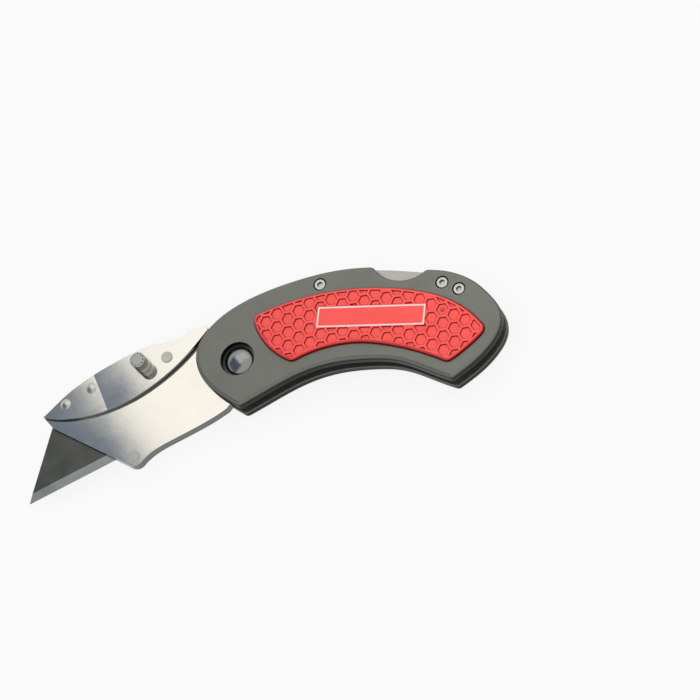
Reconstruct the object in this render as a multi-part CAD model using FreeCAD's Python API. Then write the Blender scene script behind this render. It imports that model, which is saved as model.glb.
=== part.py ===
import FreeCAD, Part
import math
import os

# Folding lock-back utility knife with a swing-out blade holder.
# Millimetres.  While it is modelled, the pivot axis is x = y = 0 and z = 0 is the middle of the gap
# between the two handle scales.  The blade points to -X with its cutting edge towards -Y, the spine is
# towards +Y, and +Z is the side with the thumb stud.  The finished pieces are moved at the end, so that
# the knife lies on its back face at z = 0 with its bounding box centred on x = y = 0.

# ---------------------------------------------------------------- driving dimensions

# standard trapezoid blade
blade_length = 61.0
blade_height = 19.0
blade_thickness = 0.6
blade_end_angle = 52.8
blade_bevel = 2.5
blade_edge_land = 0.06
notch_spacing = 12.5
notch_width = 3.2
notch_depth = 2.6

# where the blade sits in its holder, from the pivot
blade_heel_x = -8.8
blade_edge_y = -8.3

# blade holder
back_plate_t = 1.1
front_plate_t = 1.0
channel_clearance = 0.1
pocket_clearance = 0.15
pocket_end_clearance = 0.195
nose_overhang = 1.6
nose_height = 2.2
holder_crown = 7.2
lower_strip = 3.2
corner_r = 2.9
corner_to = -72.0
front_edge_drop = 1.6
tang_r = 10.2
tang_from = 240.0
tang_to = 112.0
tang_notch_depth = 0.9
rivet_r = 1.0
rivet_head_r = 1.55
rivet_head_h = 0.5
flush_head_h = 0.1

# release plate with thumb stud and blade catch
release_t = 1.0
release_set_angle = 0.8
release_seam = 0.03
scallop_r = 6.6
scallop_along = 0.243
scallop_depth = 3.7
stud_r = 2.2
stud_height = 5.0
stud_groove_depth = 0.3
stud_groove_width = 0.35
stud_groove_pitch = 0.8
stud_teeth = 12
catch_t = 0.9
catch_width = 3.6
catch_window_clearance = 0.3
catch_tooth_clearance = 0.35
catch_foot_gap = 0.1
catch_root = 1.2
catch_rivet_head_r = 1.6
catch_rivet_head_h = 0.25

# handle
handle_reach = 70.5
handle_sweep = 35.3
handle_nose = 11.2
scale_t = 2.8
face_round = 1.1
inner_chamfer = 0.2
belly_corner_r = 1.4
thumb_notch_r = 10.0
thumb_notch_depth = 3.6
thumb_notch_corner_r = 1.5

# coloured inlays
inlay_pocket_depth = 1.0
inlay_raise = 0.9
back_inlay_raise = 0.0
inlay_round = 0.7
inlay_clearance = 0.1
inlay_corner_r = 2.2
hex_column_step = 3.12
hex_row_step = 3.95
hex_ridge = 0.75
hex_depth = 0.3
hex_turn = -21.0
hex_margin = 0.9
label_length = 31.0
label_height = 6.4
label_turn = -28.0
inlay_pin_r = 0.6
inlay_pin_proud = 0.08
inlay_pin_seat = 1.0

# pivot
pivot_r = 2.5
pivot_head_r = 4.0
pivot_head_rim = 0.4
pivot_head_dome = 1.2
pivot_recess_r = 4.9
pivot_recess_depth = 1.8
pivot_screw_r = 1.5
washer_r = 6.5
washer_t = 0.2
side_clearance = 0.05
running_clearance = 0.05
seat_clearance = 0.02

# scale screws and their barrel nuts
barrel_r = 1.5
screw_head_r = 1.65
screw_head_h = 1.0
screw_recess_r = 1.85
screw_recess_depth = 1.05
screw_shank_r = 0.95
socket_flats = 1.5
socket_depth = 0.6

# lock bar, spring and rear spacer
lock_side_clearance = 0.1
lock_boss_r = 3.1
lock_arm_back = 6.5
lock_arm_drop = 4.0
lock_pad_depth = 3.6
lock_end_reach = 0.3
hook_gap = 0.15
hook_from = 52.0
hook_to = 74.0
notch_play = 3.5
fold_angle = 158.0
lock_end_gap = 0.8
spring_t = 0.6
spring_width = 2.6
spring_slot_clearance = 0.02
spring_reach = 12.3
spring_bow = 2.0
spring_tip_gap = 0.12
spring_seat = 1.2
spring_root_rise = 0.571
spacer_edge_margin = 1.6
spacer_foot_length = 5.2
spacer_foot_height = 2.2
spacer_foot_rise = 0.3

# ---------------------------------------------------------------- derived levels and places

channel_t = blade_thickness + channel_clearance
holder_t = back_plate_t + channel_t + front_plate_t
gap = holder_t + 2 * (washer_t + side_clearance)
inner_z = gap / 2
face_z = inner_z + scale_t
inlay_top_z = face_z + inlay_raise
back_inlay_top_z = face_z + back_inlay_raise
pocket_z = face_z - inlay_pocket_depth
holder_bottom_z = -holder_t / 2
channel_z = holder_bottom_z + back_plate_t
front_plate_z = channel_z + channel_t
holder_top_z = front_plate_z + front_plate_t
blade_z = channel_z + channel_clearance / 2
release_top_z = holder_top_z + release_t
stud_top_z = release_top_z + stud_height

end_run = blade_height / math.tan(math.radians(blade_end_angle))
blade_tip_x = blade_heel_x - blade_length
blade_back_y = blade_edge_y + blade_height
nose_reach = -(blade_tip_x + end_run) + nose_overhang
crown_y = blade_back_y + holder_crown
lower_y = blade_edge_y - lower_strip


def point(x, y, z=0.0):
    return FreeCAD.Vector(x, y, z)


def polar(radius, degrees):
    return point(radius * math.cos(math.radians(degrees)), radius * math.sin(math.radians(degrees)))


def on_nose(across, up):
    """A place round the handle's front end, in multiples of the nose's reach."""
    return point(across * handle_nose, up * handle_nose)


def on_handle(along, up):
    """A place on the handle: fractions of its reach behind the pivot and of its sweep."""
    return point(along * handle_reach, up * handle_sweep)


def on_holder(along, y):
    """A place on the blade holder: a fraction of the way from the pivot to its nose."""
    return point(-along * nose_reach, y)


lock_pivot = on_handle(0.411, 0.246)
rear_screws = [on_handle(0.844, -0.232), on_handle(0.892, -0.348)]
scale_screw_places = [lock_pivot] + rear_screws
label_centre = on_handle(0.543, -0.220)
hex_origin = on_handle(0.213, 0.177)
nose_rivet_places = [on_holder(0.872, blade_back_y + 2.6), on_holder(0.727, blade_back_y + 3.5)]
seam_x = nose_rivet_places[1].x + rivet_head_r + 0.6
bottom_rivet_place = point(-0.652 * nose_reach, lower_y + 0.9)
tang_rivet_place = polar(0.78 * tang_r, 218)
stud_place = on_holder(0.443, blade_back_y + 1.9)
catch_rivet_place = on_holder(0.320, blade_back_y + 0.9)
notch_x = (blade_heel_x + blade_tip_x) / 2 + notch_spacing / 2

# ---------------------------------------------------------------- shape helpers


def spline(points):
    curve = Part.BSplineCurve()
    curve.interpolate(points)
    return curve.toShape()


def arc(start, middle, end):
    return Part.Arc(start, middle, end).toShape()


def line(start, end):
    return Part.LineSegment(start, end).toShape()


def prism(edges, low, high):
    """A straight-sided solid between two levels, from the edges of its outline."""
    face = Part.makeFace(Part.Wire(edges), "Part::FaceMakerBullseye")
    solid = face.extrude(point(0, 0, high - low))
    solid.translate(point(0, 0, low))
    return solid


def polygon(points, low, high):
    closed = points + points[:1]
    return prism([line(a, b) for a, b in zip(closed, closed[1:])], low, high)


def disc(place, radius, low, high):
    return Part.makeCylinder(radius, high - low, point(place.x, place.y, low))


def rectangle(centre, length, height, degrees, low, high):
    block = Part.makeBox(length, height, high - low, point(-length / 2, -height / 2, low))
    block.rotate(point(0, 0), point(0, 0, 1), degrees)
    block.translate(centre)
    return block


def nearest_upright(solid, place):
    """The edge parallel to Z that stands nearest to a place."""
    upright = []
    for edge in solid.Edges:
        box = edge.BoundBox
        if box.ZLength > 0.1 and box.XLength < 0.001 and box.YLength < 0.001:
            upright.append(edge)

    def distance(edge):
        centre = edge.BoundBox.Center
        return math.hypot(centre.x - place.x, centre.y - place.y)

    return min(upright, key=distance)


def level_edges(solid, level):
    """The edges that lie flat at one level."""
    found = []
    for edge in solid.Edges:
        box = edge.BoundBox
        if abs(box.ZMin - level) < 1e-4 and abs(box.ZMax - level) < 1e-4:
            found.append(edge)
    return found


def mirrored(solid):
    """The same piece for the other side of the knife."""
    return solid.mirror(point(0, 0), point(0, 0, 1))


def domed_disc(place, radius, low, rim, dome):
    """A round head: a short cylinder under a spherical cap."""
    ball_r = (radius ** 2 + dome ** 2) / (2 * dome)
    top = low + rim + dome
    ball = Part.makeSphere(ball_r, point(place.x, place.y, top - ball_r))
    return disc(place, radius, low, top).common(ball)


# ---------------------------------------------------------------- handle outline

belly_front = on_nose(-0.43, -1.18)
belly_rear = on_handle(0.723, -1.0)
spine_points = [
    belly_front,
    on_nose(-0.75, -0.66),
    on_nose(-1.0, 0.04),
    on_nose(-0.90, 0.70),
    on_nose(-0.43, 1.12),
    on_nose(0.34, 1.345),
    on_handle(0.177, 0.430),
    on_handle(0.319, 0.391),
    on_handle(0.482, 0.306),
    on_handle(0.624, 0.178),
    on_handle(0.720, 0.060),
    on_handle(0.813, -0.064),
    on_handle(0.862, -0.127),
    on_handle(0.916, -0.227),
    on_handle(0.958, -0.347),
    on_handle(0.987, -0.496),
    on_handle(1.0, -0.640),
    on_handle(0.980, -0.775),
    on_handle(0.920, -0.880),
    on_handle(0.828, -0.957),
    belly_rear,
]
belly_points = [
    belly_rear,
    on_handle(0.644, -0.822),
    on_handle(0.560, -0.643),
    on_handle(0.454, -0.513),
    on_handle(0.333, -0.412),
    on_handle(0.206, -0.362),
    on_handle(0.060, -0.363),
    belly_front,
]


def handle_block(low, high):
    return prism([spline(spine_points), spline(belly_points)], low, high)


notch_start = on_handle(0.627, 0.176)
notch_end = on_handle(0.808, -0.058)


def thumb_notch(low, high):
    chord = notch_end - notch_start
    outward = point(-chord.y, chord.x).normalize()
    middle = (notch_start + notch_end) * 0.5
    return disc(middle + outward * (thumb_notch_r - thumb_notch_depth), thumb_notch_r, low, high)


# ---------------------------------------------------------------- inlay outline

inlay_front_top = on_handle(0.119, 0.261)
inlay_rear_top = on_handle(0.923, -0.765)
inlay_rear_low = on_handle(0.735, -0.868)
inlay_front_low = on_handle(0.191, -0.250)


def two_arcs(start, through, knee, end):
    """Three places on each of two arcs that meet smoothly at the knee."""
    first = Part.Arc(start, through, knee)
    heading = first.tangent(first.LastParameter)[0]
    chord = end - knee
    side = point(-chord.y, chord.x)
    swing = math.atan2(heading.x * chord.y - heading.y * chord.x, heading.dot(chord))
    middle = knee + chord * 0.5 - side * (math.tan(swing / 2) / 2)
    return [(start, through, knee), (knee, middle, end)]


# the four sides, clockwise; the corners between them are rounded
inlay_sides = [
    two_arcs(inlay_front_top, on_handle(0.475, 0.113), on_handle(0.780, -0.261), inlay_rear_top),
    [(inlay_rear_top, on_handle(0.830, -0.833), inlay_rear_low)],
    two_arcs(inlay_rear_low, on_handle(0.627, -0.628), on_handle(0.513, -0.439), inlay_front_low),
    [(inlay_front_low, on_handle(0.126, -0.017), inlay_front_top)],
]


def bend_of(start, through, end):
    """The circle that an edge follows, and 1 where the outline bulges or -1 where it is hollow."""
    circle = arc(start, through, end).Curve
    turn = (through - start).cross(end - through).z
    return circle.Center, circle.Radius, -math.copysign(1, turn)


def on_bend(bend, towards, grow):
    """The place on a grown edge that lies in line with its centre and another place."""
    centre, radius, bulge = bend
    direction = towards - centre
    return centre + direction.normalize() * (radius + bulge * grow)


def corner_centre(first, second, corner):
    """The centre of a round corner: the corner's radius inside both edges, near their crossing."""
    reach_a = first[1] - first[2] * inlay_corner_r
    reach_b = second[1] - second[2] * inlay_corner_r
    across = second[0] - first[0]
    span = across.Length
    across.normalize()
    along = (reach_a ** 2 - reach_b ** 2 + span ** 2) / (2 * span)
    off = math.sqrt(reach_a ** 2 - along ** 2)
    foot = first[0] + across * along
    normal = point(-across.y, across.x) * off
    return min((foot + normal, foot - normal), key=lambda place: (place - corner).Length)


def short_arc(centre, start, end):
    """The shorter arc round a centre."""
    radius = (start - centre).Length
    middle = (start - centre) + (end - centre)
    return arc(start, centre + middle.normalize() * radius, end)


def inlay_block(low, high, grow):
    """The inlay's plan shape, grown all round for its pocket or drawn in for its pattern."""
    sides = [[bend_of(*places) for places in side] for side in inlay_sides]
    following = sides[1:] + sides[:1]
    corners = []
    for side, after, places in zip(sides, following, inlay_sides):
        corners.append(corner_centre(side[-1], after[0], places[-1][2]))
    edges = []
    for index, side in enumerate(sides):
        marks = [corners[index - 1]] + [places[2] for places in inlay_sides[index][:-1]] + [corners[index]]
        starts = [on_bend(bend, mark, grow) for bend, mark in zip(side, marks)]
        last = on_bend(side[-1], corners[index], grow)
        for bend, start, end in zip(side, starts, starts[1:] + [last]):
            edges.append(short_arc(bend[0], start, end))
        edges.append(short_arc(corners[index], last, on_bend(following[index][0], corners[index], grow)))
    return prism(edges, low, high)


# ---------------------------------------------------------------- handle pieces


def make_scale():
    scale = handle_block(inner_z, face_z).cut(thumb_notch(inner_z - 1, face_z + 1))
    rounded = [(belly_corner_r, [belly_front, belly_rear]), (thumb_notch_corner_r, [notch_start, notch_end])]
    for radius, places in rounded:
        scale = scale.makeFillet(radius, [nearest_upright(scale, p) for p in places])
    scale = scale.makeFillet(face_round, level_edges(scale, face_z))
    scale = scale.makeChamfer(inner_chamfer, level_edges(scale, inner_z))
    scale = scale.cut(inlay_block(pocket_z, face_z + 1, inlay_clearance))
    scale = scale.cut(disc(point(0, 0), pivot_recess_r, face_z - pivot_recess_depth, face_z + 1))
    scale = scale.cut(disc(point(0, 0), pivot_r + seat_clearance, inner_z - 1, face_z))
    for place in scale_screw_places:
        scale = scale.cut(disc(place, screw_recess_r, face_z - screw_recess_depth, face_z + 1))
        scale = scale.cut(disc(place, barrel_r + seat_clearance, inner_z - 1, face_z))
    pin = disc(inlay_pin_place, inlay_pin_r + seat_clearance, pocket_z - inlay_pin_seat, pocket_z)
    return scale.cut(pin)


def hex_cell(row, column):
    """One recessed cell of the grip pattern, on a grid that is turned with the handle."""
    half_width = (hex_column_step * 4 / 3 - hex_ridge) / 2
    half_height = (hex_row_step - hex_ridge) / 2
    corners = []
    for across, up in [(1, 0), (0.5, 1), (-0.5, 1), (-1, 0), (-0.5, -1), (0.5, -1)]:
        corners.append(point(across * half_width, up * half_height))
    cell = polygon(corners, -hex_depth, 1)
    cell.translate(point(column * hex_column_step, (row + 0.5 * (column % 2)) * hex_row_step))
    cell.rotate(point(0, 0), point(0, 0, 1), hex_turn)
    cell.translate(hex_origin)
    return cell


inlay_pin_cell = hex_cell(-2, 15)
inlay_pin_place = point(inlay_pin_cell.BoundBox.Center.x, inlay_pin_cell.BoundBox.Center.y)


def make_inlay(top_z):
    """A rounded plate in the scale's pocket, with cells all round a bare label panel."""
    inlay = inlay_block(pocket_z, top_z, 0)
    inlay = inlay.makeFillet(inlay_round, level_edges(inlay, top_z))
    field = inlay_block(-1, 2, -hex_margin)
    field = field.cut(rectangle(label_centre, label_length, label_height, label_turn, -2, 3))
    cells = []
    for column in range(-3, 20):
        for row in range(-8, 9):
            cell = hex_cell(row, column).common(field)
            if cell.Volume > 0.2 * hex_column_step * hex_row_step * hex_depth:
                cells.append(cell)
    pattern = Part.makeCompound(cells)
    pattern.translate(point(0, 0, top_z))
    inlay = inlay.cut(pattern)
    return inlay.cut(disc(inlay_pin_place, inlay_pin_r + seat_clearance, pocket_z - 1, top_z))


def make_inlay_pin(top_z):
    return disc(inlay_pin_place, inlay_pin_r, pocket_z - inlay_pin_seat, top_z - hex_depth + inlay_pin_proud)


def hex_socket(place, top):
    corner_r = socket_flats / math.sqrt(3)
    corners = [place + polar(corner_r, 60 * i + 15) for i in range(6)]
    return polygon(corners, top - socket_depth, top + 1)


def make_barrel_nut(place):
    """The sleeve from the back: a head in the back scale and a shank through the whole knife."""
    floor = face_z - screw_recess_depth
    nut = disc(place, screw_head_r, -floor - screw_head_h, -floor)
    nut = nut.fuse(disc(place, barrel_r, -floor, floor))
    nut = nut.cut(disc(place, screw_shank_r + seat_clearance, -floor, floor + 1))
    return nut.cut(mirrored(hex_socket(place, floor + screw_head_h))).removeSplitter()


def make_scale_screw(place):
    floor = face_z - screw_recess_depth
    head = disc(place, screw_head_r, floor, floor + screw_head_h)
    head = head.makeChamfer(0.2, level_edges(head, floor + screw_head_h))
    head = head.cut(hex_socket(place, floor + screw_head_h))
    return head.fuse(disc(place, screw_shank_r, 0, floor)).removeSplitter()


def make_pivot_barrel():
    floor = face_z - pivot_recess_depth
    barrel = domed_disc(point(0, 0), pivot_head_r, floor, pivot_head_rim, pivot_head_dome)
    barrel = barrel.fuse(disc(point(0, 0), pivot_r, -floor, floor))
    return barrel.cut(disc(point(0, 0), pivot_screw_r + seat_clearance, -floor - 1, 0)).removeSplitter()


def make_pivot_screw():
    floor = face_z - pivot_recess_depth
    head = mirrored(domed_disc(point(0, 0), pivot_head_r, floor, pivot_head_rim, pivot_head_dome))
    return head.fuse(disc(point(0, 0), pivot_screw_r, -floor, -0.3)).removeSplitter()


def make_washer():
    washer = disc(point(0, 0), washer_r, inner_z - washer_t, inner_z)
    return washer.cut(disc(point(0, 0), pivot_r + running_clearance, 0, inner_z + 1))


# ---------------------------------------------------------------- lock bar, spacer and spring


def turned(place, centre, degrees):
    moved = FreeCAD.Rotation(point(0, 0, 1), degrees).multVec(place - centre)
    return moved + centre


def lock_underside(along):
    """Height of the lock bar's lower edge on its rear arm."""
    start = lock_pivot + point(lock_arm_back, -lock_arm_drop)
    end = point(notch_end.x, notch_end.y - lock_pad_depth)
    share = (along - start.x) / (end.x - start.x)
    return start.y + share * (end.y - start.y)


lock_end_x = notch_end.x + lock_end_reach
spacer_front_x = lock_end_x + lock_end_gap
hook_r = tang_r + hook_gap


def make_lock_bar():
    """A rocker along the spine: hook over the tang in front, thumb pad in the notch behind."""
    half = inner_z - lock_side_clearance
    top = on_nose(0, 2.5).y
    hook_front = polar(hook_r, hook_to)
    hook_back = polar(hook_r, hook_from)
    rear_low = point(lock_end_x, lock_underside(lock_end_x))
    rear_top = point(lock_end_x, top)
    arm_low = lock_pivot + point(lock_arm_back, -lock_arm_drop)
    hook_heel = hook_back + point(1.0, 2.2)
    front_arm = lock_pivot + point(-9.0, 0.2)
    front_top = point(hook_front.x - 0.7, top)
    edges = [
        arc(hook_front, polar(hook_r, (hook_from + hook_to) / 2), hook_back),
        line(hook_back, hook_heel),
        line(hook_heel, front_arm),
        arc(front_arm, lock_pivot + point(-0.6, -lock_boss_r), arm_low),
        line(arm_low, rear_low),
        line(rear_low, rear_top),
        line(rear_top, front_top),
        line(front_top, hook_front),
    ]
    bar = prism(edges, -half, half).common(handle_block(-half, half))
    return bar.cut(disc(lock_pivot, barrel_r + running_clearance, -half - 1, half + 1))


def blade_when_folded(place):
    return turned(place, point(0, 0), fold_angle)


folded_heel = blade_when_folded(point(blade_heel_x, blade_edge_y))
folded_tip = blade_when_folded(point(blade_tip_x, blade_edge_y))
edge_run = (folded_tip - folded_heel).normalize()
edge_margin = point(-edge_run.y, edge_run.x) * spacer_edge_margin
to_foot = (spacer_front_x - spacer_foot_length - folded_heel.x) / edge_run.x
spacer_foot = folded_heel + edge_run * to_foot + edge_margin


def make_rear_spacer():
    """The block between the scales behind the lock bar; it stays clear of the folded blade."""
    tail = point(handle_reach + 2, folded_tip.y + spacer_edge_margin)
    edges = [
        spacer_foot,
        folded_tip + edge_margin,
        tail,
        point(tail.x, lock_pivot.y),
        point(spacer_front_x, lock_pivot.y),
        point(spacer_front_x, spacer_foot.y + spacer_foot_height),
        point(spacer_foot.x, spacer_foot.y + spacer_foot_height + spacer_foot_rise),
    ]
    return polygon(edges, -inner_z, inner_z).common(handle_block(-inner_z, inner_z))


def make_spring(extra):
    """A bent strip between its slot in the spacer's foot and the lock bar's rear arm."""
    tip_x = lock_pivot.x + spring_reach
    tip = point(tip_x, lock_underside(tip_x) - spring_t / 2 - spring_tip_gap)
    root = point(spacer_front_x - spring_seat, spacer_foot.y + spring_root_rise)
    middle = (tip + root) * 0.5 - point(0.4 * spring_bow, spring_bow)
    circle = arc(tip, middle, root).Curve
    centre = circle.Center
    half_t = spring_t / 2 + extra
    rims = []
    for grow in (-half_t, half_t):
        rims.append([centre + (p - centre).normalize() * (circle.Radius + grow) for p in (tip, middle, root)])
    inner, outer = rims
    edges = [arc(*inner), line(inner[2], outer[2]), arc(*reversed(outer)), line(outer[0], inner[0])]
    return prism(edges, -spring_width / 2 - extra, spring_width / 2 + extra)


# ---------------------------------------------------------------- blade and holder


def make_blade():
    """A trapezoid with two notches in its back, ground to an edge from both faces."""
    low, high = blade_z, blade_z + blade_thickness
    heel, tip = point(blade_heel_x, blade_edge_y), point(blade_tip_x, blade_edge_y)
    back_front = point(tip.x + end_run, blade_back_y)
    back_rear = point(heel.x - end_run, blade_back_y)
    blade = polygon([tip, heel, back_rear, back_front], low, high)
    for x in (notch_x - notch_spacing, notch_x):
        corner = point(x - notch_width / 2, blade_back_y - notch_depth, low - 1)
        blade = blade.cut(Part.makeBox(notch_width, notch_depth + 1, 2, corner))
    relief = (blade_thickness - blade_edge_land) / 2
    bevel_y = blade_edge_y + blade_bevel
    outside_x = tip.x - 5
    for flat, side in ((high, -1), (low, 1)):
        wedge = [
            point(outside_x, blade_edge_y, flat + side * relief),
            point(outside_x, blade_edge_y, flat - side),
            point(outside_x, bevel_y, flat - side),
            point(outside_x, bevel_y, flat),
        ]
        ring = wedge + wedge[:1]
        face = Part.Face(Part.Wire([line(a, b) for a, b in zip(ring, ring[1:])]))
        blade = blade.cut(face.extrude(point(blade_length + 10, 0)))
    return blade


plate_nose = on_holder(1.0, blade_back_y + nose_height)
crown_points = [
    plate_nose,
    on_holder(0.912, crown_y - 3.2),
    on_holder(0.830, crown_y - 1.7),
    on_holder(0.745, crown_y - 0.8),
    on_holder(0.655, crown_y - 0.2),
    on_holder(0.560, crown_y),
    on_holder(0.470, crown_y),
    on_holder(0.400, crown_y - 0.3),
    on_holder(0.300, crown_y - 1.2),
    on_holder(0.190, crown_y - 2.8),
]
tail_point = on_holder(0.095, crown_y - 4.5)


def holder_outline(low, high):
    """Nose, straight front edge, round corner, hollow lower edge and round tang."""
    slope = 180 - blade_end_angle
    along = polar(1, slope)
    front_low = bottom_rivet_place + polar(corner_r, slope + 90)
    rise = blade_back_y - front_edge_drop - front_low.y
    front_top = front_low + along * (rise / along.y)
    corner_end = bottom_rivet_place + polar(corner_r, corner_to)
    corner_mid = bottom_rivet_place + polar(corner_r, (slope + 90 + corner_to + 360) / 2)
    shoulder = point(-0.84 * tang_r, lower_y + 0.9)
    tang_low = polar(tang_r, tang_from)
    tang_high = polar(tang_r, tang_to)
    lower_edge = [
        corner_end,
        on_holder(0.575, lower_y - 0.55),
        on_holder(0.450, lower_y),
        on_holder(0.270, lower_y + 0.15),
        shoulder,
    ]
    edges = [
        line(plate_nose, front_top),
        line(front_top, front_low),
        arc(front_low, corner_mid, corner_end),
        spline(lower_edge),
        line(shoulder, tang_low),
        arc(tang_low, polar(tang_r, -4), tang_high),
        line(tang_high, tail_point),
        spline([tail_point] + crown_points[::-1]),
    ]
    return prism(edges, low, high)


def tang_notches(low, high):
    """Two seats for the lock bar's hook: one for the open knife and one for the folded knife."""
    floor_r = tang_r - tang_notch_depth
    seats = []
    for turn in (0, -fold_angle):
        first = hook_from - notch_play + turn
        last = hook_to + notch_play + turn
        corners = [
            polar(floor_r, first),
            polar(tang_r + 1, first),
            polar(tang_r + 1.5, (first + last) / 2),
            polar(tang_r + 1, last),
            polar(floor_r, last),
        ]
        seats.append(polygon(corners, low, high))
    return Part.makeCompound(seats)


def make_holder_plate(low, high):
    plate = holder_outline(low, high).cut(tang_notches(low - 1, high + 1))
    plate = plate.cut(disc(point(0, 0), pivot_r + running_clearance, low - 1, high + 1))
    for place in nose_rivet_places + [bottom_rivet_place, tang_rivet_place]:
        plate = plate.cut(disc(place, rivet_r + seat_clearance, low - 1, high + 1))
    return plate


def catch_strip(extra, low, high):
    """The catch's plan shape: from its rivet past the stud to the blade's rear notch."""
    front = notch_x - catch_width / 2 + 0.4
    back = catch_rivet_place.x + catch_width / 2 + 0.2
    bottom = blade_back_y - notch_depth + catch_tooth_clearance
    top = stud_place.y + catch_width / 2
    length, height = back - front + 2 * extra, top - bottom + 2 * extra
    return Part.makeBox(length, height, high - low, point(front - extra, bottom - extra, low))


def make_front_plate():
    plate = make_holder_plate(front_plate_z, holder_top_z)
    return plate.cut(catch_strip(catch_window_clearance, front_plate_z - 1, holder_top_z + 1))


def make_channel_spacer():
    """The thin piece between the plates that leaves the blade's pocket, open at the front."""
    low, high = channel_z, front_plate_z
    edge_y = blade_edge_y - pocket_clearance
    back_y = blade_back_y + pocket_clearance
    heel_x = blade_heel_x + pocket_end_clearance
    outside_x = blade_tip_x - 10
    corners = [
        point(outside_x, edge_y),
        point(heel_x, edge_y),
        point(heel_x - end_run, back_y),
        point(outside_x, back_y),
    ]
    spacer = make_holder_plate(low, high).cut(polygon(corners, low - 1, high + 1))
    return spacer.cut(catch_strip(catch_window_clearance, low - 1, high + 1))


def make_rivet(place, top, head_r, head_h):
    rivet = disc(place, rivet_r, holder_bottom_z, top)
    if head_h > 2 * flush_head_h:
        return rivet.fuse(domed_disc(place, head_r, top, 0.1, head_h - 0.1)).removeSplitter()
    return rivet.fuse(disc(place, head_r, top, top + head_h)).removeSplitter()


# ---------------------------------------------------------------- release plate

release_axis = point(seam_x, 0, release_top_z)


leaf_tail = on_holder(0.085, crown_y - 3.2)
leaf_heel = on_holder(0.095, crown_y - 4.9)
leaf_lower_points = [
    leaf_heel,
    on_holder(0.160, crown_y - 6.8),
    on_holder(0.268, crown_y - 9.5),
    on_holder(0.366, crown_y - 11.2),
    on_holder(0.463, crown_y - 12.3),
    on_holder(0.560, crown_y - 12.8),
    on_holder(0.655, crown_y - 12.6),
    on_holder(0.745, crown_y - 11.8),
    on_holder(0.835, crown_y - 10.3),
    on_holder(0.920, crown_y - 8.2),
    plate_nose,
]


def leaf_outline(low, high):
    """The release plate: the holder's crown above and a rounded leaf edge below."""
    edges = [
        spline(crown_points[:9] + [on_holder(0.16, crown_y - 2.3), leaf_tail]),
        arc(leaf_tail, on_holder(0.080, crown_y - 4.1), leaf_heel),
        spline(leaf_lower_points),
    ]
    return prism(edges, low, high)


def half_of_leaf(low, high, rear):
    """The leaf on one side of the line it bends on."""
    leaf = leaf_outline(low, high)
    side = Part.makeBox(200, 200, 10, point(seam_x + release_seam, -100, low - 5))
    if not rear:
        side = Part.makeBox(200, 200, 10, point(seam_x - 200, -100, low - 5))
    return leaf.common(side)


def make_release_root():
    root = half_of_leaf(holder_top_z, release_top_z, False)
    for place in nose_rivet_places:
        root = root.cut(disc(place, rivet_r + seat_clearance, holder_top_z - 1, release_top_z + 1))
    return root


def make_release_plate():
    plate = half_of_leaf(holder_top_z, release_top_z, True)
    bite = on_holder(scallop_along, crown_y - scallop_depth + scallop_r)
    plate = plate.cut(disc(bite, scallop_r, holder_top_z - 1, release_top_z + 1))
    for place in (stud_place, catch_rivet_place):
        plate = plate.cut(disc(place, rivet_r + seat_clearance, holder_top_z - 1, release_top_z + 1))
    return plate


def make_catch():
    """The strip under the release plate, with a tooth down into the blade's notch."""
    low = holder_top_z - catch_t
    strip = catch_strip(0, low, holder_top_z)
    tooth_width = notch_width - 2 * catch_tooth_clearance
    bottom = blade_back_y - notch_depth + catch_tooth_clearance
    foot_z = channel_z + catch_foot_gap
    corner = point(notch_x - tooth_width / 2, bottom, foot_z)
    tooth = Part.makeBox(tooth_width, blade_back_y - bottom + catch_root, low - foot_z, corner)
    catch = strip.fuse(tooth).removeSplitter()
    for place in (stud_place, catch_rivet_place):
        catch = catch.cut(disc(place, rivet_r + seat_clearance, low - 1, holder_top_z + 1))
    return catch


def make_stud():
    """A ribbed stud with a toothed rim, riveted through the release plate."""
    stud = disc(stud_place, stud_r, release_top_z, stud_top_z)
    stud = stud.makeChamfer(0.3, level_edges(stud, stud_top_z))
    for ring in range(3):
        low = stud_top_z - 0.7 - ring * stud_groove_pitch - stud_groove_width
        groove = disc(stud_place, stud_r + 1, low, low + stud_groove_width)
        stud = stud.cut(groove.cut(disc(stud_place, stud_r - stud_groove_depth, low - 1, low + 1)))
    for tooth in range(stud_teeth):
        nick = Part.makeBox(1.0, 0.4, 1.0, point(stud_r - 0.55, -0.2, stud_top_z - 0.25))
        nick.rotate(point(0, 0), point(0, 0, 1), 360 / stud_teeth * tooth)
        nick.translate(stud_place)
        stud = stud.cut(nick)
    return stud.fuse(disc(stud_place, rivet_r, holder_top_z - catch_t, release_top_z)).removeSplitter()


def make_catch_rivet():
    head = disc(catch_rivet_place, catch_rivet_head_r, release_top_z, release_top_z + catch_rivet_head_h)
    return head.fuse(disc(catch_rivet_place, rivet_r, holder_top_z - catch_t, release_top_z)).removeSplitter()


def set_up(solid):
    """Release pieces stand a little proud at the tail, bent up from the seam."""
    solid.rotate(release_axis, point(0, -1, 0), release_set_angle)
    return solid


# ---------------------------------------------------------------- assembly

scale = make_scale()
washer = make_washer()
spacer = make_rear_spacer().cut(make_spring(spring_slot_clearance))
for place in rear_screws:
    spacer = spacer.cut(disc(place, barrel_r + seat_clearance, -inner_z - 1, inner_z + 1))

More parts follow.
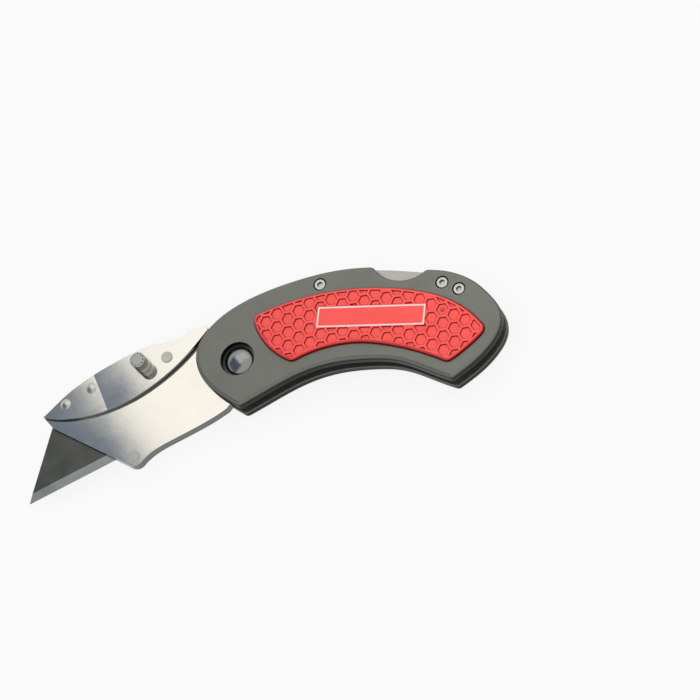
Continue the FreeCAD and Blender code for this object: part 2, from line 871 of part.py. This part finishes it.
nodes = {
    "front_scale": scale,
    "back_scale": mirrored(scale),
    "front_inlay": make_inlay(inlay_top_z),
    "back_inlay": mirrored(make_inlay(back_inlay_top_z)),
    "inlay_pins": Part.makeCompound(
        [make_inlay_pin(inlay_top_z), mirrored(make_inlay_pin(back_inlay_top_z))]),
    "pivot_barrel": make_pivot_barrel(),
    "pivot_screw": make_pivot_screw(),
    "front_washer": washer,
    "back_washer": mirrored(washer),
    "scale_screws": Part.makeCompound([make_scale_screw(p) for p in scale_screw_places]),
    "barrel_nuts": Part.makeCompound([make_barrel_nut(p) for p in scale_screw_places]),
    "rear_spacer": spacer,
    "lock_spring": make_spring(0),
    "lock_bar": make_lock_bar(),
    "holder_back_plate": make_holder_plate(holder_bottom_z, channel_z),
    "holder_front_plate": make_front_plate(),
    "channel_spacer": make_channel_spacer(),
    "nose_rivets": Part.makeCompound(
        [make_rivet(p, release_top_z, rivet_head_r, rivet_head_h) for p in nose_rivet_places]),
    "bottom_rivet": make_rivet(bottom_rivet_place, holder_top_z, rivet_head_r, flush_head_h),
    "tang_rivet": disc(tang_rivet_place, rivet_r, holder_bottom_z, holder_top_z),
    "utility_blade": make_blade(),
    "release_root": make_release_root(),
    "release_plate": set_up(make_release_plate()),
    "blade_catch": set_up(make_catch()),
    "thumb_stud": set_up(make_stud()),
    "catch_rivet": set_up(make_catch_rivet()),
}

whole = Part.makeCompound(list(nodes.values())).optimalBoundingBox()
shift = point(-whole.Center.x, -whole.Center.y, -whole.ZMin)

os.makedirs("parts", exist_ok=True)
for name, shape in nodes.items():
    placed = shape.copy()
    placed.translate(shift)
    placed.exportStep(os.path.join("parts", name + ".step"))

print("size", round(whole.XLength, 2), round(whole.YLength, 2), round(whole.ZLength, 2))
print("pivot axis at", tuple(round(v, 3) for v in shift))
print("lock bar axis at", tuple(round(v, 3) for v in lock_pivot + shift))
print("release axis at", tuple(round(v, 3) for v in release_axis + shift))
print("label centre at", tuple(round(v, 3) for v in label_centre + shift))
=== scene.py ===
import bpy
import math
from mathutils import Matrix, Quaternion, Vector


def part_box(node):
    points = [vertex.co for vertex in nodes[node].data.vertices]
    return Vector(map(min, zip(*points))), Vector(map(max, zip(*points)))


# Folding lock-back utility knife.  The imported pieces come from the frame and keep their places; this
# file gives each of them its finish, and sets up the floor, the lights and the camera.  Metres.

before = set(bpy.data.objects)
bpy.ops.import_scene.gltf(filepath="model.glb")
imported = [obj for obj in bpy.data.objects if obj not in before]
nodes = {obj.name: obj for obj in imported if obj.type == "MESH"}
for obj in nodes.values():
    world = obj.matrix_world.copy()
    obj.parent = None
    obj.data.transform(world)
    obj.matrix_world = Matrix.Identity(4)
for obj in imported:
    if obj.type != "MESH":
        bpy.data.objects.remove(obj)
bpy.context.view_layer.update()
scene = bpy.context.scene
scene.view_settings.view_transform = "Standard"

MM = 0.001

# ---------------------------------------------------------------- sizes taken from the knife

blade_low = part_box("utility_blade")[0]
bevel_height = 2.5 * MM
bevel_line = 0.02 * MM
label_centre = Vector((37.93, 0.87, 0.0)) * MM
label_length, label_height = 31.0 * MM, 6.4 * MM
label_turn = math.radians(-28.0)
label_line = 0.24 * MM
label_inset = 0.45 * MM
brushing_turn = math.radians(28)
lock_grain_turn = math.radians(25)

# ---------------------------------------------------------------- material helpers


def linear(code):
    """An sRGB hex colour as the linear values that a shader takes."""
    values = []
    for start in (0, 2, 4):
        channel = int(code[start:start + 2], 16) / 255
        values.append(channel / 12.92 if channel <= 0.04045 else ((channel + 0.055) / 1.055) ** 2.4)
    return (*values, 1.0)


def feed(tree, node, inputs):
    """Gives each input, found by its identifier, a value, an sRGB hex colour, or the output that feeds
    it; a node given for an output means the first one in use."""
    sockets = {socket.identifier: socket for socket in node.inputs}
    for name, value in inputs.items():
        if isinstance(value, bpy.types.Node):
            value = next(output for output in value.outputs if output.enabled)
        if isinstance(value, bpy.types.NodeSocket):
            tree.links.new(value, sockets[name])
        else:
            sockets[name].default_value = linear(value) if isinstance(value, str) else value


def add(tree, kind, inputs=None, **settings):
    """Adds a shader node with its settings, values and links."""
    new = tree.nodes.new("ShaderNode" + kind)
    for name, value in settings.items():
        setattr(new, name, value)
    feed(tree, new, inputs or {})
    return new


def start_metal(name, colour, roughness, metallic=1.0):
    """A material with one surface shader, ready for its colour and relief."""
    material = bpy.data.materials.new(name)
    material.use_nodes = True
    tree = material.node_tree
    tree.nodes.clear()
    shader = add(tree, "BsdfPrincipled", {"Base Color": colour, "Metallic": metallic, "Roughness": roughness})
    add(tree, "OutputMaterial", {"Surface": shader})
    return material, tree, shader


def grain(tree, size, stretch=(1, 1, 1), turn=0.0, detail=3.0):
    """Noise whose grains are as wide as the size says, drawn out along an axis if stretched."""
    place = add(tree, "TexCoord").outputs["Object"]
    laid = add(tree, "Mapping", {"Vector": place, "Rotation": (0, 0, turn), "Scale": stretch})
    return add(tree, "TexNoise", {"Vector": laid, "Scale": 1 / size, "Detail": detail})


def marked(tree, face, colour, pattern, share):
    """The face with a colour over it where a pattern shows, up to the share given."""
    amount = add(tree, "Math", {"Value": pattern, "Value_001": share}, operation="MULTIPLY")
    return add(tree, "Mix", {"Factor_Float": amount, "A_Color": face, "B_Color": colour}, data_type="RGBA")


def painted_wall_shade(tree, face, colour, steep, level):
    """The face where it is level, front and back, and painted shade in another colour on upright walls, which
    take less light.
    """
    normal = add(tree, "TexCoord").outputs["Normal"]
    upward = add(tree, "SeparateXYZ", {"Vector": normal}).outputs["Z"]
    flatness = add(tree, "Math", {"Value": upward}, operation="ABSOLUTE")
    share = add(tree, "MapRange", {"Value": flatness, "From Min": steep, "From Max": level})
    return add(tree, "Mix", {"Factor_Float": share, "A_Color": colour, "B_Color": face}, data_type="RGBA")


def painted_corner_shade(tree, face, colour, reach, shut, clear):
    """The face in the open, and painted shade in another colour in corners and recesses of about the reach
    given.
    """
    openness = add(tree, "AmbientOcclusion", {"Distance": reach}, samples=8).outputs["AO"]
    share = add(tree, "MapRange", {"Value": openness, "From Min": shut, "From Max": clear})
    return add(tree, "Mix", {"Factor_Float": share, "A_Color": colour, "B_Color": face}, data_type="RGBA")


def relief(tree, shader, height, depth, edge=0.12 * MM):
    """Bump of a real depth, on edges that are broken by the size given."""
    broken = add(tree, "Bevel", {"Radius": edge}, samples=4)
    feed(tree, shader, {"Normal": add(tree, "Bump", {"Height": height, "Distance": depth, "Normal": broken})})


# ---------------------------------------------------------------- finishes


def anodised_aluminium_grey():
    """Bead-blasted and dyed aluminium: an even, soft grey face, with painted shade on the walls and in the
    corners.
    """
    material, tree, shader = start_metal("anodised_aluminium_grey", "666860", 0.42, 0.85)
    # blasting leaves pits about 0.05 mm wide; they are drawn 0.22 mm wide so that they show
    pits = grain(tree, 0.22 * MM)
    clouds = grain(tree, 9 * MM)
    face = add(tree, "Mix", {"Factor_Float": clouds, "A_Color": "767870", "B_Color": "84867E"},
               data_type="RGBA")
    face = marked(tree, face, "4E504B", pits, 0.35)
    # painted shade: the upright walls are coloured near black
    face = painted_wall_shade(tree, face, "1B1C19", 0.30, 0.85)
    # painted shade: corners and recesses are coloured near black
    face = painted_corner_shade(tree, face, "0C0C0B", 1.6 * MM, 0.25, 0.80)
    dullness = add(tree, "MapRange", {"Value": pits, "From Min": 0.3, "From Max": 0.7,
                                      "To Min": 0.38, "To Max": 0.48})
    feed(tree, shader, {"Base Color": face, "Roughness": dullness})
    relief(tree, shader, pits, 0.012 * MM, edge=0.15 * MM)
    return material


def anodised_aluminium_red():
    """Satin aluminium dyed coral red, with painted shade in the corners of the cells and on the walls and
    rim.
    """
    material, tree, shader = start_metal("anodised_aluminium_red", "E8504C", 0.34, 0.80)
    # the satin grain is about 0.04 mm wide; it is drawn 0.18 mm wide so that it shows
    satin = grain(tree, 0.18 * MM)
    clouds = grain(tree, 6 * MM)
    face = add(tree, "Mix", {"Factor_Float": clouds, "A_Color": "EE5652", "B_Color": "F8645F"},
               data_type="RGBA")
    face = marked(tree, face, "D23A3A", satin, 0.25)
    # painted shade: the walls and the rounded rim are coloured dark red
    face = painted_wall_shade(tree, face, "A91518", 0.60, 0.99)
    # painted shade: the floors of the cells are coloured dark red next to their walls
    face = painted_corner_shade(tree, face, "8E1013", 0.55 * MM, 0.58, 0.90)
    # a plain frame engraved round the bare panel
    place = add(tree, "TexCoord").outputs["Object"]
    on_label = add(tree, "Mapping", {"Vector": place, "Location": label_centre,
                                     "Rotation": (0, 0, label_turn)}, vector_type="TEXTURE")
    half = (label_length / 2 - label_inset, label_height / 2 - label_inset, 0)
    folded = add(tree, "VectorMath", {"Vector": on_label}, operation="ABSOLUTE")
    outside = add(tree, "VectorMath", {"Vector": folded, "Vector_001": half}, operation="SUBTRACT")
    sides = add(tree, "SeparateXYZ", {"Vector": outside}).outputs
    reach = add(tree, "Math", {"Value": sides["X"], "Value_001": sides["Y"]}, operation="MAXIMUM")
    away = add(tree, "Math", {"Value": reach}, operation="ABSOLUTE")
    engraved = add(tree, "MapRange", {"Value": away, "From Min": label_line * 0.8, "From Max": label_line,
                                      "To Min": 1, "To Max": 0})
    face = add(tree, "Mix", {"Factor_Float": engraved, "A_Color": face, "B_Color": "DCD0CD"},
               data_type="RGBA")
    dullness = add(tree, "MapRange", {"Value": satin, "From Min": 0.3, "From Max": 0.7,
                                      "To Min": 0.28, "To Max": 0.40})
    feed(tree, shader, {"Base Color": face, "Roughness": dullness})
    relief(tree, shader, satin, 0.010 * MM, edge=0.10 * MM)
    return material


def stainless_plate():
    """Rolled and finely brushed stainless plate: bright, faintly warm, with handling smudges, and painted
    shade on its walls and in its corners.
    """
    material, tree, shader = start_metal("stainless_plate", "D6D3CB", 0.09)
    # brushing lines are about 0.03 mm apart; they are drawn 0.16 mm apart so that they show
    lines = grain(tree, 0.16 * MM, stretch=(0.04, 1, 1), turn=brushing_turn)
    smudges = grain(tree, 7 * MM, detail=5.0)
    face = add(tree, "Mix", {"Factor_Float": smudges, "A_Color": "CFCDC6", "B_Color": "DEDBD3"},
               data_type="RGBA")
    face = marked(tree, face, "A9A8A3", lines, 0.18)
    # painted shade: the upright walls are coloured darker grey
    face = painted_wall_shade(tree, face, "6E6F6D", 0.3, 0.8)
    # painted shade: corners and recesses are coloured dark grey
    face = painted_corner_shade(tree, face, "3A3B3C", 1.2 * MM, 0.20, 0.70)
    dullness = add(tree, "MapRange", {"Value": smudges, "From Min": 0.35, "From Max": 0.65,
                                      "To Min": 0.06, "To Max": 0.08})
    feed(tree, shader, {"Base Color": face, "Roughness": dullness})
    relief(tree, shader, lines, 0.003 * MM, edge=0.10 * MM)
    return material


def carbon_steel_blade():
    """Hardened carbon steel: dark rolled flats, and a bright ground bevel with lines across it."""
    material, tree, shader = start_metal("carbon_steel_blade", "5E5F5A", 0.30)
    # rolling marks run along the blade, and grinding marks on the bevel run across it; both are about
    # 0.02 mm apart, and are drawn 0.16 to 0.20 mm apart so that they show
    rolled = grain(tree, 0.20 * MM, stretch=(0.05, 1, 1))
    ground = grain(tree, 0.16 * MM, stretch=(1, 0.06, 1))
    oil = grain(tree, 5 * MM, detail=4.0)
    place = add(tree, "TexCoord").outputs["Object"]
    height = add(tree, "SeparateXYZ", {"Vector": place}).outputs["Y"]
    bevel_top = blade_low.y + bevel_height
    on_flat = add(tree, "MapRange", {"Value": height, "From Min": bevel_top - bevel_line,
                                     "From Max": bevel_top + bevel_line})
    flat = add(tree, "Mix", {"Factor_Float": oil, "A_Color": "585955", "B_Color": "6E6F68"},
               data_type="RGBA")
    flat = marked(tree, flat, "3E3F3C", rolled, 0.4)
    bevel = add(tree, "Mix", {"Factor_Float": ground, "A_Color": "9FA29B", "B_Color": "BDBFB8"},
                data_type="RGBA")
    face = add(tree, "Mix", {"Factor_Float": on_flat, "A_Color": bevel, "B_Color": flat}, data_type="RGBA")
    dullness = add(tree, "MapRange", {"Value": oil, "From Min": 0.3, "From Max": 0.7,
                                      "To Min": 0.24, "To Max": 0.36})
    marks = add(tree, "Mix", {"Factor_Float": on_flat, "A_Float": ground, "B_Float": rolled},
                data_type="FLOAT")
    feed(tree, shader, {"Base Color": face, "Roughness": dullness})
    relief(tree, shader, marks, 0.004 * MM, edge=0.03 * MM)
    return material


def turned_steel(name, colour, roughness, scratch_width, edge):
    """Steel turned on a lathe: fine scratches, and painted shade in the sockets and under the heads."""
    material, tree, shader = start_metal(name, colour, roughness)
    scratches = grain(tree, scratch_width)
    smudges = grain(tree, 2.5 * MM)
    face = marked(tree, colour, "7E7F7C", scratches, 0.35)
    # painted shade: sockets and the steel under the heads are coloured near black
    face = painted_corner_shade(tree, face, "202020", 0.9 * MM, 0.25, 0.75)
    dullness = add(tree, "MapRange", {"Value": smudges, "From Min": 0.3, "From Max": 0.7,
                                      "To Min": roughness * 0.75, "To Max": roughness * 1.3})
    feed(tree, shader, {"Base Color": face, "Roughness": dullness})
    relief(tree, shader, scratches, 0.004 * MM, edge=edge)
    return material


def satin_steel():
    """Ground flat steel: even grey with lines along the knife, and painted shade in its corners."""
    material, tree, shader = start_metal("satin_steel", "A5A49F", 0.30)
    lines = grain(tree, 0.18 * MM, stretch=(0.05, 1, 1), turn=lock_grain_turn)
    face = add(tree, "Mix", {"Factor_Float": lines, "A_Color": "8F8F8B", "B_Color": "B2B1AC"},
               data_type="RGBA")
    # painted shade: corners and recesses are coloured dark grey
    face = painted_corner_shade(tree, face, "2A2A29", 1.5 * MM, 0.20, 0.75)
    feed(tree, shader, {"Base Color": face})
    relief(tree, shader, lines, 0.004 * MM)
    return material


def blued_spring_steel():
    """Heat-blued spring strip: dark, with a blue to straw drift along its length."""
    material, tree, shader = start_metal("blued_spring_steel", "3A4048", 0.28)
    drift = grain(tree, 4 * MM)
    face = add(tree, "Mix", {"Factor_Float": drift, "A_Color": "2C3340", "B_Color": "55504A"},
               data_type="RGBA")
    feed(tree, shader, {"Base Color": face})
    relief(tree, shader, grain(tree, 0.2 * MM), 0.003 * MM)
    return material


def phosphor_bronze():
    """Rolled bronze washer stock: warm, with darker tarnish in patches."""
    material, tree, shader = start_metal("phosphor_bronze", "A9794B", 0.32)
    tarnish = grain(tree, 2 * MM)
    face = add(tree, "Mix", {"Factor_Float": tarnish, "A_Color": "B5824F", "B_Color": "7E5735"},
               data_type="RGBA")
    feed(tree, shader, {"Base Color": face})
    relief(tree, shader, grain(tree, 0.15 * MM), 0.003 * MM)
    return material


grey_scale = anodised_aluminium_grey()
red_inlay = anodised_aluminium_red()
plate = stainless_plate()
blade = carbon_steel_blade()
screw_steel = turned_steel("turned_steel_screws", "BDBDB8", 0.24, 0.14 * MM, 0.08 * MM)
pivot_steel = turned_steel("polished_steel_pivot", "8E8F8F", 0.20, 0.30 * MM, 0.10 * MM)
rivet_steel = turned_steel("stainless_rivets", "C4C2BB", 0.26, 0.16 * MM, 0.10 * MM)
stud_steel = turned_steel("turned_steel_stud", "B4B4AF", 0.20, 0.14 * MM, 0.05 * MM)
pin_steel = turned_steel("red_dyed_pin", "C23A3A", 0.30, 0.14 * MM, 0.05 * MM)
lock_steel = satin_steel()
spring_steel = blued_spring_steel()
bronze = phosphor_bronze()

finishes = {
    "front_scale": grey_scale,
    "back_scale": grey_scale,
    "front_inlay": red_inlay,
    "back_inlay": red_inlay,
    "inlay_pins": pin_steel,
    "pivot_barrel": pivot_steel,
    "pivot_screw": pivot_steel,
    "front_washer": bronze,
    "back_washer": bronze,
    "scale_screws": screw_steel,
    "barrel_nuts": screw_steel,
    "rear_spacer": lock_steel,
    "lock_bar": lock_steel,
    "lock_spring": spring_steel,
    "holder_back_plate": plate,
    "holder_front_plate": plate,
    "channel_spacer": plate,
    "release_root": plate,
    "release_plate": plate,
    "blade_catch": plate,
    "nose_rivets": rivet_steel,
    "bottom_rivet": rivet_steel,
    "tang_rivet": rivet_steel,
    "catch_rivet": rivet_steel,
    "thumb_stud": stud_steel,
    "utility_blade": blade,
}

for name, piece in nodes.items():
    if piece.material_slots:
        for slot in piece.material_slots:
            slot.material = finishes[name]
    else:
        piece.data.materials.append(finishes[name])

# ---------------------------------------------------------------- camera

aim = Vector((28.36, -2.68, 4.45)) * MM
camera_distance = 0.81266
camera_turn = math.radians(13.119)
camera_height = math.radians(60.795)
camera_roll = math.radians(-38.841)
sensor_width_mm = 36
lens_mm = 154.2857

back = Vector((
    math.sin(camera_turn) * math.cos(camera_height),
    -math.cos(camera_turn) * math.cos(camera_height),
    math.sin(camera_height),
))
eye = aim + back * camera_distance
camera = bpy.data.objects.new("camera", bpy.data.cameras.new("camera"))
camera.data.sensor_width = sensor_width_mm
camera.data.lens = lens_mm
camera.data.clip_start, camera.data.clip_end = 0.01, 20
camera.location = eye
camera.rotation_mode = "QUATERNION"
camera.rotation_quaternion = (-back).to_track_quat("-Z", "Y") @ Quaternion((0, 0, 1), camera_roll)
scene.collection.objects.link(camera)
scene.camera = camera

# ---------------------------------------------------------------- floor, world and lights

floor_side = 12.0
floor_gap = 0.05 * MM
floor_glow = 0.86
room_light = 0.75
box_height = 0.95
box_side = 0.95
box_level = 0.46
card_width, card_depth = 1.4, 1.0


def level_sheet(name, centre, width, depth, turn):
    """A level rectangle, as a floor or a card above the knife."""
    corners = [(-width / 2, -depth / 2, 0), (width / 2, -depth / 2, 0),
               (width / 2, depth / 2, 0), (-width / 2, depth / 2, 0)]
    mesh = bpy.data.meshes.new(name)
    mesh.from_pydata(corners, [], [(0, 1, 2, 3)])
    sheet = bpy.data.objects.new(name, mesh)
    sheet.matrix_world = Matrix.Translation(centre) @ Matrix.Rotation(turn, 4, "Z")
    scene.collection.objects.link(sheet)
    return sheet


def mirrored_from(place, height):
    """The point at a height that the camera sees reflected in a level face."""
    low_eye = Vector((eye.x, eye.y, 2 * place.z - eye.z))
    return place + (place - low_eye) * ((height - place.z) / (eye.z - place.z))


floor = level_sheet("floor", Vector((0, 0, -floor_gap)), floor_side, floor_side, 0)
material = bpy.data.materials.new("white_paper_floor")
material.use_nodes = True
tree = material.node_tree
tree.nodes.clear()
rays = add(tree, "LightPath").outputs
seen = add(tree, "Math", {"Value": rays["Is Camera Ray"], "Value_001": rays["Is Glossy Ray"]},
           operation="ADD")
seen = add(tree, "Math", {"Value": seen, "Value_001": rays["Is Transmission Ray"]}, operation="ADD")
share = add(tree, "Math", {"Value": seen, "Value_001": floor_glow}, operation="MULTIPLY")
paper = add(tree, "BsdfDiffuse", {"Color": "F4F4F4"})
glow = add(tree, "Emission", {"Color": "FFFFFF", "Strength": 1.0})
mixed = add(tree, "MixShader", {"Fac": share, "Shader": paper, "Shader_001": glow})
add(tree, "OutputMaterial", {"Surface": mixed})
floor.data.materials.append(material)

world = bpy.data.worlds.new("studio")
world.use_nodes = True
scene.world = world
tree = world.node_tree
tree.nodes.clear()
rays = add(tree, "LightPath").outputs
seen = add(tree, "Math", {"Value": rays["Is Camera Ray"], "Value_001": rays["Is Glossy Ray"]},
           operation="MAXIMUM")
seen = add(tree, "Math", {"Value": seen, "Value_001": rays["Is Transmission Ray"]}, operation="MAXIMUM")
strength = add(tree, "MapRange", {"Value": seen, "To Min": room_light})
surround = add(tree, "Background", {"Color": "FFFFFF", "Strength": strength})
add(tree, "OutputWorld", {"Surface": surround})

# the softbox hangs where level steel shows it, and its edge crosses the blade holder; beyond that edge
# a grey-blue card hangs, which only reflections see
split_place = Vector((-39.0, 11.0, 6.5)) * MM
split_turn = math.radians(-74.7)
edge_middle = mirrored_from(split_place, box_height)
across = Vector((math.cos(split_turn + math.pi / 2), math.sin(split_turn + math.pi / 2), 0))

lamp = bpy.data.lights.new("softbox", "AREA")
lamp.shape = "SQUARE"
lamp.size = box_side
lamp.color = linear("FFF7EA")[:3]
lamp.energy = math.pi * box_side ** 2 * box_level
softbox = bpy.data.objects.new("softbox", lamp)
box_middle = edge_middle + across * (box_side / 2)
softbox.matrix_world = Matrix.Translation(box_middle) @ Matrix.Rotation(split_turn, 4, "Z")
softbox.visible_camera = False
scene.collection.objects.link(softbox)

card_middle = edge_middle - across * (card_depth / 2)
card = level_sheet("reflected_card", card_middle, card_width, card_depth, split_turn)
material = bpy.data.materials.new("grey_blue_card")
material.use_nodes = True
tree = material.node_tree
tree.nodes.clear()
dull = add(tree, "Emission", {"Color": "7C889B", "Strength": 1.0})
add(tree, "OutputMaterial", {"Surface": dull})
card.data.materials.append(material)
card.visible_camera = False
card.visible_diffuse = False
card.visible_shadow = False
card.visible_transmission = False
